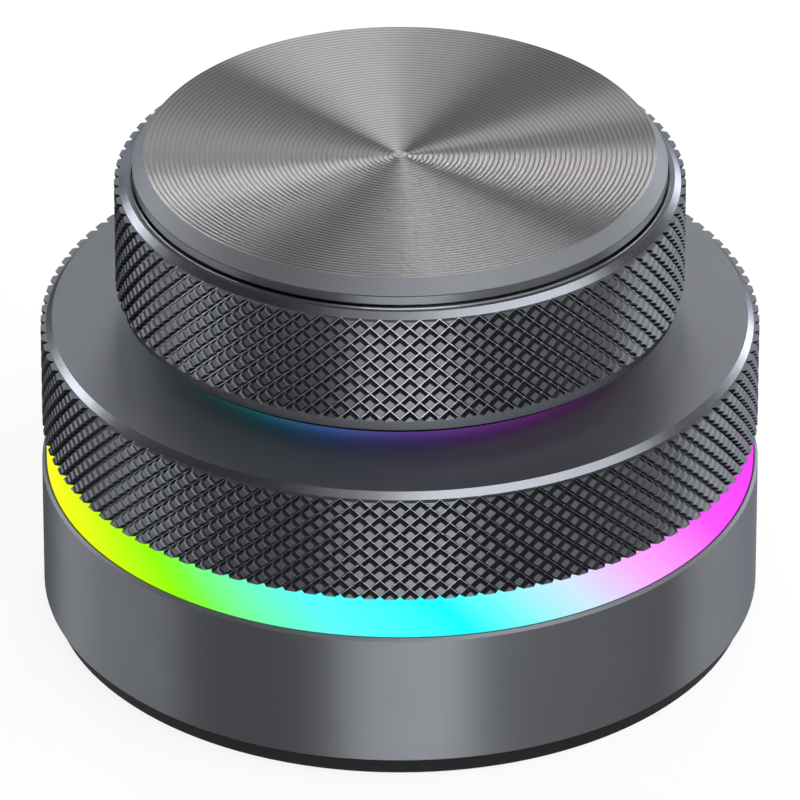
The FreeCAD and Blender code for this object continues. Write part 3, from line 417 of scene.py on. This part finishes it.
def lighter(code, step):
    """A colour code made lighter, or darker, by a step on each channel."""
    channels = [int(code[place:place + 2], 16) + step for place in (1, 3, 5)]
    return "#" + "".join("%02X" % min(255, max(0, channel)) for channel in channels)


def add(tree, kind, inputs=(), **settings):
    """Adds a node: settings are its own, inputs are (socket, number, colour or a node's output)."""
    node = tree.nodes.new("ShaderNode" + kind)
    for name, value in settings.items():
        setattr(node, name, value)
    for socket, value in inputs:
        if isinstance(value, bpy.types.NodeSocket):
            tree.links.new(value, node.inputs[socket])
        else:
            node.inputs[socket].default_value = value
    return node


def new_material(name):
    """A material with an empty node tree."""
    material = bpy.data.materials.new(name)
    material.use_nodes = True
    material.node_tree.nodes.clear()
    return material, material.node_tree


def anodised_aluminium(name, colour, roughness, anisotropy=0.0, grain=0.12, relief=0.0, edge=None):
    """Aluminium, turned or blasted, then dyed and sealed. Turning marks run round the axis and
    spread each reflection across them. The grain's size and the relief's depth are in millimetres.
    An edge, a colour and a roughness, is a plain satin for the bevelled faces, which lean."""
    material, tree = new_material(name)
    place = add(tree, "TexCoord").outputs["Object"]
    grain_noise = add(tree, "TexNoise", [
        ("Vector", place), ("Scale", 1 / (grain * MM)), ("Detail", 2.0)])
    rough = add(tree, "MapRange", [
        ("Value", grain_noise.outputs["Fac"]), ("From Min", NOISE_LOW), ("From Max", NOISE_HIGH),
        ("To Min", roughness - GLOSS_SPREAD), ("To Max", roughness + GLOSS_SPREAD)])
    cloud = add(tree, "TexNoise", [
        ("Vector", place), ("Scale", 1 / (CLOUD * MM)), ("Detail", 2.0)])
    tint = add(tree, "MixRGB", [
        ("Fac", cloud.outputs["Fac"]), ("Color1", linear(colour)),
        ("Color2", linear(lighter(colour, CLOUD_TINT)))])
    shader = add(tree, "BsdfPrincipled", [
        ("Base Color", tint.outputs["Color"]), ("Metallic", 1.0),
        ("Roughness", rough.outputs["Result"]), ("Specular Tint", linear(DYE))])
    if anisotropy:
        around = add(tree, "Tangent", direction_type="RADIAL", axis="Z")
        tree.links.new(around.outputs["Tangent"], shader.inputs["Tangent"])
        shader.inputs["Anisotropic"].default_value = anisotropy
        shader.inputs["Anisotropic Rotation"].default_value = ACROSS_THE_MARKS
    if relief:
        bump = add(tree, "Bump", [
            ("Height", grain_noise.outputs["Fac"]), ("Distance", relief * MM)])
        tree.links.new(bump.outputs["Normal"], shader.inputs["Normal"])
    surface = shader.outputs["BSDF"]
    if edge:
        edge_colour, edge_roughness = edge
        lean = add(tree, "SeparateXYZ", [
            ("Vector", add(tree, "NewGeometry").outputs["True Normal"])])
        bevelled = add(tree, "Math", [(0, lean.outputs["Z"]), (1, BEVEL_RISE)],
                       operation="GREATER_THAN")
        plain = add(tree, "BsdfPrincipled", [
            ("Base Color", linear(edge_colour)), ("Metallic", 1.0),
            ("Roughness", edge_roughness), ("Specular Tint", linear(DYE))])
        surface = add(tree, "MixShader", [
            ("Fac", bevelled.outputs["Value"]), (1, surface),
            (2, plain.outputs["BSDF"])]).outputs["Shader"]
    add(tree, "OutputMaterial", [("Surface", surface)])
    return material


def machined_metal(name, colour, roughness, marks, spread=0.05):
    """Plain metal with tool marks or crystals of one size, in millimetres, that vary its gloss."""
    material, tree = new_material(name)
    place = add(tree, "TexCoord").outputs["Object"]
    pattern = add(tree, "TexNoise", [
        ("Vector", place), ("Scale", 1 / (marks * MM)), ("Detail", 3.0)])
    rough = add(tree, "MapRange", [
        ("Value", pattern.outputs["Fac"]), ("From Min", NOISE_LOW), ("From Max", NOISE_HIGH),
        ("To Min", roughness - spread), ("To Max", roughness + spread)])
    tint = add(tree, "MixRGB", [
        ("Fac", pattern.outputs["Fac"]), ("Color1", linear(lighter(colour, -MARKS_TINT))),
        ("Color2", linear(lighter(colour, MARKS_TINT)))])
    shader = add(tree, "BsdfPrincipled", [
        ("Base Color", tint.outputs["Color"]), ("Metallic", 1.0),
        ("Roughness", rough.outputs["Result"])])
    add(tree, "OutputMaterial", [("Surface", shader.outputs["BSDF"])])
    return material


def moulded(name, colour, ior, roughness, grain, relief, shine=0.5):
    """A moulded part with the fine eroded grain of its mould. Grain and relief are in
    millimetres."""
    material, tree = new_material(name)
    place = add(tree, "TexCoord").outputs["Object"]
    pattern = add(tree, "TexNoise", [
        ("Vector", place), ("Scale", 1 / (grain * MM)), ("Detail", 3.0)])
    bump = add(tree, "Bump", [("Height", pattern.outputs["Fac"]), ("Distance", relief * MM)])
    tint = add(tree, "MixRGB", [
        ("Fac", pattern.outputs["Fac"]), ("Color1", linear(lighter(colour, -MOULD_TINT))),
        ("Color2", linear(lighter(colour, MOULD_TINT)))])
    shader = add(tree, "BsdfPrincipled", [
        ("Base Color", tint.outputs["Color"]), ("Roughness", roughness), ("IOR", ior),
        ("Specular IOR Level", shine), ("Normal", bump.outputs["Normal"])])
    add(tree, "OutputMaterial", [("Surface", shader.outputs["BSDF"])])
    return material


def circuit_board(name):
    """Glass-epoxy board: the glass weave just shows through the glossy green mask."""
    material, tree = new_material(name)
    place = add(tree, "TexCoord").outputs["Object"]
    threads = [("Vector", place), ("Scale", 1 / (WAVES_PER_UNIT * THREAD * MM))]
    warp = add(tree, "TexWave", threads, bands_direction="X")
    weft = add(tree, "TexWave", threads, bands_direction="Y")
    weave = add(tree, "MixRGB", [
        ("Fac", 0.5), ("Color1", warp.outputs["Color"]), ("Color2", weft.outputs["Color"])],
        blend_type="MULTIPLY")
    bump = add(tree, "Bump", [
        ("Height", weave.outputs["Color"]), ("Distance", MASK_RELIEF * MM)])
    tint = add(tree, "MixRGB", [
        ("Fac", weave.outputs["Color"]), ("Color1", linear("#123A2C")),
        ("Color2", linear("#1A4A38"))])
    shader = add(tree, "BsdfPrincipled", [
        ("Base Color", tint.outputs["Color"]), ("Roughness", 0.28), ("IOR", 1.55),
        ("Normal", bump.outputs["Normal"])])
    add(tree, "OutputMaterial", [("Surface", shader.outputs["BSDF"])])
    return material


def lit_diffuser(name, stops, strength, lean=0.0, middle=0.0):
    """Opal silicone with coloured light behind it. Each stop is degrees round from the front and a
    colour. The colours lean: below the middle's level they lie further round, in degrees for each
    millimetre."""
    material, tree = new_material(name)
    place = add(tree, "TexCoord").outputs["Object"]
    # The gradient's ends meet at the back after this quarter turn, so stops count from the front.
    turned = add(tree, "Mapping", [
        ("Vector", place), ("Rotation", (0, 0, TURN / 4)), ("Location", (0, 0, -middle * MM))])
    round_axis = add(tree, "TexGradient", [("Vector", turned.outputs["Vector"])],
                     gradient_type="RADIAL")
    parts = add(tree, "SeparateXYZ", [("Vector", turned.outputs["Vector"])])
    leaning = add(tree, "Math", [
        (0, parts.outputs["Z"]), (1, lean / 360 / MM), (2, round_axis.outputs["Fac"])],
        operation="MULTIPLY_ADD")
    wrapped = add(tree, "Math", [(0, leaning.outputs["Value"])], operation="FRACT")
    ramp = add(tree, "ValToRGB", [("Fac", wrapped.outputs["Value"])])
    elements = ramp.color_ramp.elements
    while len(elements) < len(stops):
        elements.new(0.5)
    for element, (degrees, colour) in zip(elements, stops):
        element.position = (degrees + 180) / 360
        element.color = linear(colour)
    shader = add(tree, "BsdfPrincipled", [
        ("Base Color", linear("#060606")), ("Roughness", 0.8), ("IOR", 1.41),
        ("Specular IOR Level", 0.05), ("Emission Color", ramp.outputs["Color"]),
        ("Emission Strength", strength)])
    add(tree, "OutputMaterial", [("Surface", shader.outputs["BSDF"])])
    return material


# Turned walls: satin dark grey with reflections drawn out upright.
wall = anodised_aluminium("anodised_turned_wall", "#5E6064", 0.5, 0.95)
# The rings' chamfers: smooth satin, soft clear reflections.
satin = anodised_aluminium("anodised_satin", "#6A6C72", 0.3)
# The disc's chamfer: the same dye on a softer satin.
soft_satin = anodised_aluminium("anodised_soft_satin", "#6C6E72", 0.58)
# The deck and the knob's rim: finely blasted, so that they only shade softly.
blasted = anodised_aluminium("anodised_blasted", "#8A8C91", 0.48, grain=0.1, relief=0.002)
# Sides of the knurl: the same metal in a darker colour, painted shade in the grooves. pressed
# metal, dyed with the rest.
shaded_flank = anodised_aluminium("anodised_knurl_side_painted_shade", "#505257", 0.36)
# Floors of the knurl and the knob's bead: a lighter colour, a painted highlight that draws a bright
# narrow line.
painted_highlight_cut = anodised_aluminium("painted_highlight_aluminium", "#9A9CA0", 0.5, 1.0)
# The disc's face: a lighter satin, its turned rings drawn out into fans of light.
face_finish = anodised_aluminium("anodised_turned_face", "#BAB8B9", 0.35, 1.0)
# The steep slope of each of its grooves: the face's finish in a darker colour, painted shade that
# draws fine darker rings.
painted_shade_slope = anodised_aluminium("anodised_turned_slope_painted_shade", "#9C9A9B", 0.35, 1.0)
# The drop at each groove's end: darker and rougher, painted shade that keeps its highlight down.
painted_shade_drop = anodised_aluminium("anodised_turned_drop_painted_shade", "#8A8A8C", 0.5, 0.95)
# The base: a turned wall with a plain satin on its bevel.
base_finish = anodised_aluminium("anodised_base", "#5E6064", 0.5, 0.95, edge=("#66686C", 0.5))

# Silicone rubber: near black, matte, a fine moulded grain.
rubber = moulded("silicone_rubber", "#0B0C0D", 1.41, 0.65, 0.5, 0.03, shine=0.2)
# Moulded ABS: dull black with the mould's grain.
black_plastic = moulded("moulded_abs", "#232425", 1.54, 0.45, 0.3, 0.02)
# Glass-filled PBT: mid grey, a little coarser.
grey_plastic = moulded("moulded_pbt", "#6A6C6E", 1.55, 0.5, 0.4, 0.02)
# Acetal: milky white, smooth and slightly waxy.
white_plastic = moulded("moulded_acetal", "#E2E1DB", 1.48, 0.38, 0.6, 0.01)
# Epoxy moulding compound: charcoal, matte, speckled with its filler.
chip = moulded("epoxy_compound", "#27272A", 1.55, 0.55, 0.12, 0.006)
# White housings of the lamps on the boards under clear silicone: glossy and pale yellow.
led = moulded("led_package", "#EDE9D6", 1.41, 0.2, 0.8, 0.004)
# Bearing steel, ground and polished: mirror with a faint haze.
bearing_steel = machined_metal("ground_bearing_steel", "#C4C5C7", 0.14, 0.3, spread=0.03)
# Zinc-plated steel: pale blue-grey, clouded by its crystals.
steel = machined_metal("zinc_plated_steel", "#AEB1B5", 0.32, 0.8)
# Turned aluminium left bare: pale, with fine tool marks.
bare_aluminium = machined_metal("bare_aluminium", "#C9CBCE", 0.28, 0.25)
# Gold plate over nickel on the contacts.
contact = machined_metal("gold_plate", "#D9B45E", 0.22, 0.2, spread=0.03)
# Green solder mask over glass epoxy.
board = circuit_board("green_board")
# The light ring: opal silicone, lit from inside by the whole rainbow.
ring_light = lit_diffuser("lit_ring_silicone", [
    (-180, "#FF2000"), (-130, "#FF9000"), (-85, "#FFFF00"), (-62, "#E8FF00"), (-40, "#90FF00"),
    (-35, "#7CFF40"), (-28, "#78FF98"), (-12, "#5CFFFF"), (9, "#10FFFF"), (17, "#70FFFF"),
    (30, "#D4ECFF"), (42, "#FFAEFF"), (60, "#FF54FF"), (85, "#FF18FF"), (140, "#FF1070"),
    (180, "#FF2000")], 1.0, lean=1.7, middle=15.2)
# The glow under the knob: the same silicone in softer colours that spill on the deck.
halo_light = lit_diffuser("lit_halo_silicone", [
    (-180, "#109868"), (-70, "#10988E"), (-40, "#1E909C"), (-18, "#4870BC"), (0, "#6C4CAC"),
    (25, "#8E34AA"), (60, "#A0249C"), (120, "#B03080"), (180, "#109868")], 4.0)

FINISHES = {
    base_finish: ("base_shell",),
    rubber: ("rubber_foot",),
    ring_light: ("light_ring",),
    halo_light: ("halo_diffuser",),
    led: ("base_leds", "halo_leds"),
    bearing_steel: ("bearing_balls", "bearing_inner_race", "bearing_outer_race"),
    steel: ("bearing_clip", "board_screws", "bottom_plate", "column_screws", "encoder_bushing",
            "hub_screws", "knob_board_screws", "knob_screws", "plate_screws",
            "ring_encoder_cover", "usb_shell"),
    black_plastic: ("board_carrier", "knob_hub", "ring_encoder_housing", "usb_tongue"),
    bare_aluminium: ("centre_column", "encoder_shaft"),
    chip: ("control_chips",),
    grey_plastic: ("encoder_body", "link_cable"),
    contact: ("encoder_pins",),
    white_plastic: ("encoder_rotor", "lower_connector", "upper_connector", "ring_encoder_rotor",
                    "ring_hub"),
    board: ("knob_board", "main_board"),
}
for material, nodes in FINISHES.items():
    for node in nodes:
        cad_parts[node].data.materials[0] = material

make_knob_ring()
make_volume_ring()
make_turned_disc()
make_spring_dome()


# ---------------------------------------------------------------- studio

LAMP_DISTANCE = 0.6           # metres from the point that the lamps shine on
LAMP_AIM = 0.02               # that point's height above the desk
# Each soft box: degrees round from the front to the right, its lower edge above the horizon, its
# width and its height in degrees as seen from the object, and its radiance.
LAMPS = {
    "front_low_box": (2, 0, 38, 9, 28),
    "front_high_box": (48, 38, 66, 25, 4.5),
    "front_top_box": (-4, 50, 34, 16, 1.3),
    "left_low_box": (-95, 0, 56, 8, 12),
    "left_box": (-123, 13, 24, 9, 13),
    "right_box": (112, 0, 40, 8, 20),
    "right_back_box": (147, 0, 26, 8, 32),
    "back_left_box": (-161.5, 2, 20, 9, 50),
    "back_middle_box": (180, 26, 10, 9, 1.8),
    "back_right_box": (169.5, 2, 14, 9, 48),
    "back_high_box": (178, 48, 14, 8, 5),
}

TABLE_SIZE = 8                # metres
TABLE_GAP = 0.02              # millimetres under the foot
TABLE_WHITE = 0.85            # share of plain white that is seen on it, so that the shadow stays

CAMERA_LENS = 493.7           # millimetres
CAMERA_BACK, CAMERA_RISE = 0.790, 0.4425       # metres before the axis and above the top
CAMERA_AIM = 0.02396          # metres below the top
CAMERA_NEAR, CAMERA_FAR = 0.01, 20


def soft_box(name, round_from_front, lower_edge, wide, tall, radiance):
    """A rectangular lamp that looks at the object, of one radiance all over."""
    around, rise = math.radians(round_from_front), math.radians(lower_edge + tall / 2)
    light = bpy.data.lights.new(name, "AREA")
    light.shape = "RECTANGLE"
    light.size = 2 * LAMP_DISTANCE * math.tan(math.radians(wide / 2))
    light.size_y = 2 * LAMP_DISTANCE * math.tan(math.radians(tall / 2))
    light.energy = radiance * math.pi * light.size * light.size_y
    lamp = bpy.data.objects.new(name, light)
    bpy.context.scene.collection.objects.link(lamp)
    away = Vector((math.sin(around) * math.cos(rise), -math.cos(around) * math.cos(rise),
                   math.sin(rise)))
    lamp.location = away * LAMP_DISTANCE + Vector((0, 0, LAMP_AIM))
    lamp.rotation_euler = away.to_track_quat("Z", "Y").to_euler()
    lamp.visible_camera = False


def white_paper():
    """Matte white paper. The camera and clear reflections see it nearly plain white."""
    material, tree = new_material("white_paper")
    matte = add(tree, "BsdfDiffuse", [("Color", linear("#F2F2F2"))])
    white = add(tree, "Emission", [("Color", (1, 1, 1, 1)), ("Strength", 1.0)])
    path = add(tree, "LightPath")
    seen = add(tree, "Math", [
        (0, path.outputs["Is Camera Ray"]), (1, path.outputs["Is Glossy Ray"])],
        operation="MAXIMUM")
    seen_clear = add(tree, "Math", [
        (0, seen.outputs["Value"]), (1, path.outputs["Is Transmission Ray"])],
        operation="MAXIMUM")
    share = add(tree, "Math", [(0, seen_clear.outputs["Value"]), (1, TABLE_WHITE)],
                operation="MULTIPLY")
    ground = add(tree, "MixShader", [
        ("Fac", share.outputs["Value"]), (1, matte.outputs["BSDF"]),
        (2, white.outputs["Emission"])])
    add(tree, "OutputMaterial", [("Surface", ground.outputs["Shader"])])
    return material


nothing_selected()
bpy.ops.mesh.primitive_plane_add(size=TABLE_SIZE, location=(0, 0, -TABLE_GAP * MM))
table = bpy.context.object
table.name = "table_top"
table.data.materials.append(white_paper())

for name, box in LAMPS.items():
    soft_box(name, *box)

world = bpy.data.worlds.new("studio")
bpy.context.scene.world = world
world.use_nodes = True
background = world.node_tree.nodes["Background"]
background.inputs["Color"].default_value = linear("#595959")
background.inputs["Strength"].default_value = 1.0

camera_data = bpy.data.cameras.new("camera")
camera_data.lens = CAMERA_LENS
camera_data.clip_start, camera_data.clip_end = CAMERA_NEAR, CAMERA_FAR
camera = bpy.data.objects.new("camera", camera_data)
bpy.context.scene.collection.objects.link(camera)
top = cad_box[1].z
camera.location = (0, -CAMERA_BACK, top + CAMERA_RISE)
aim_point = Vector((0, 0, top - CAMERA_AIM))
camera.rotation_euler = (camera.location - aim_point).to_track_quat("Z", "Y").to_euler()
bpy.context.scene.camera = camera
bpy.context.scene.view_settings.view_transform = "Standard"
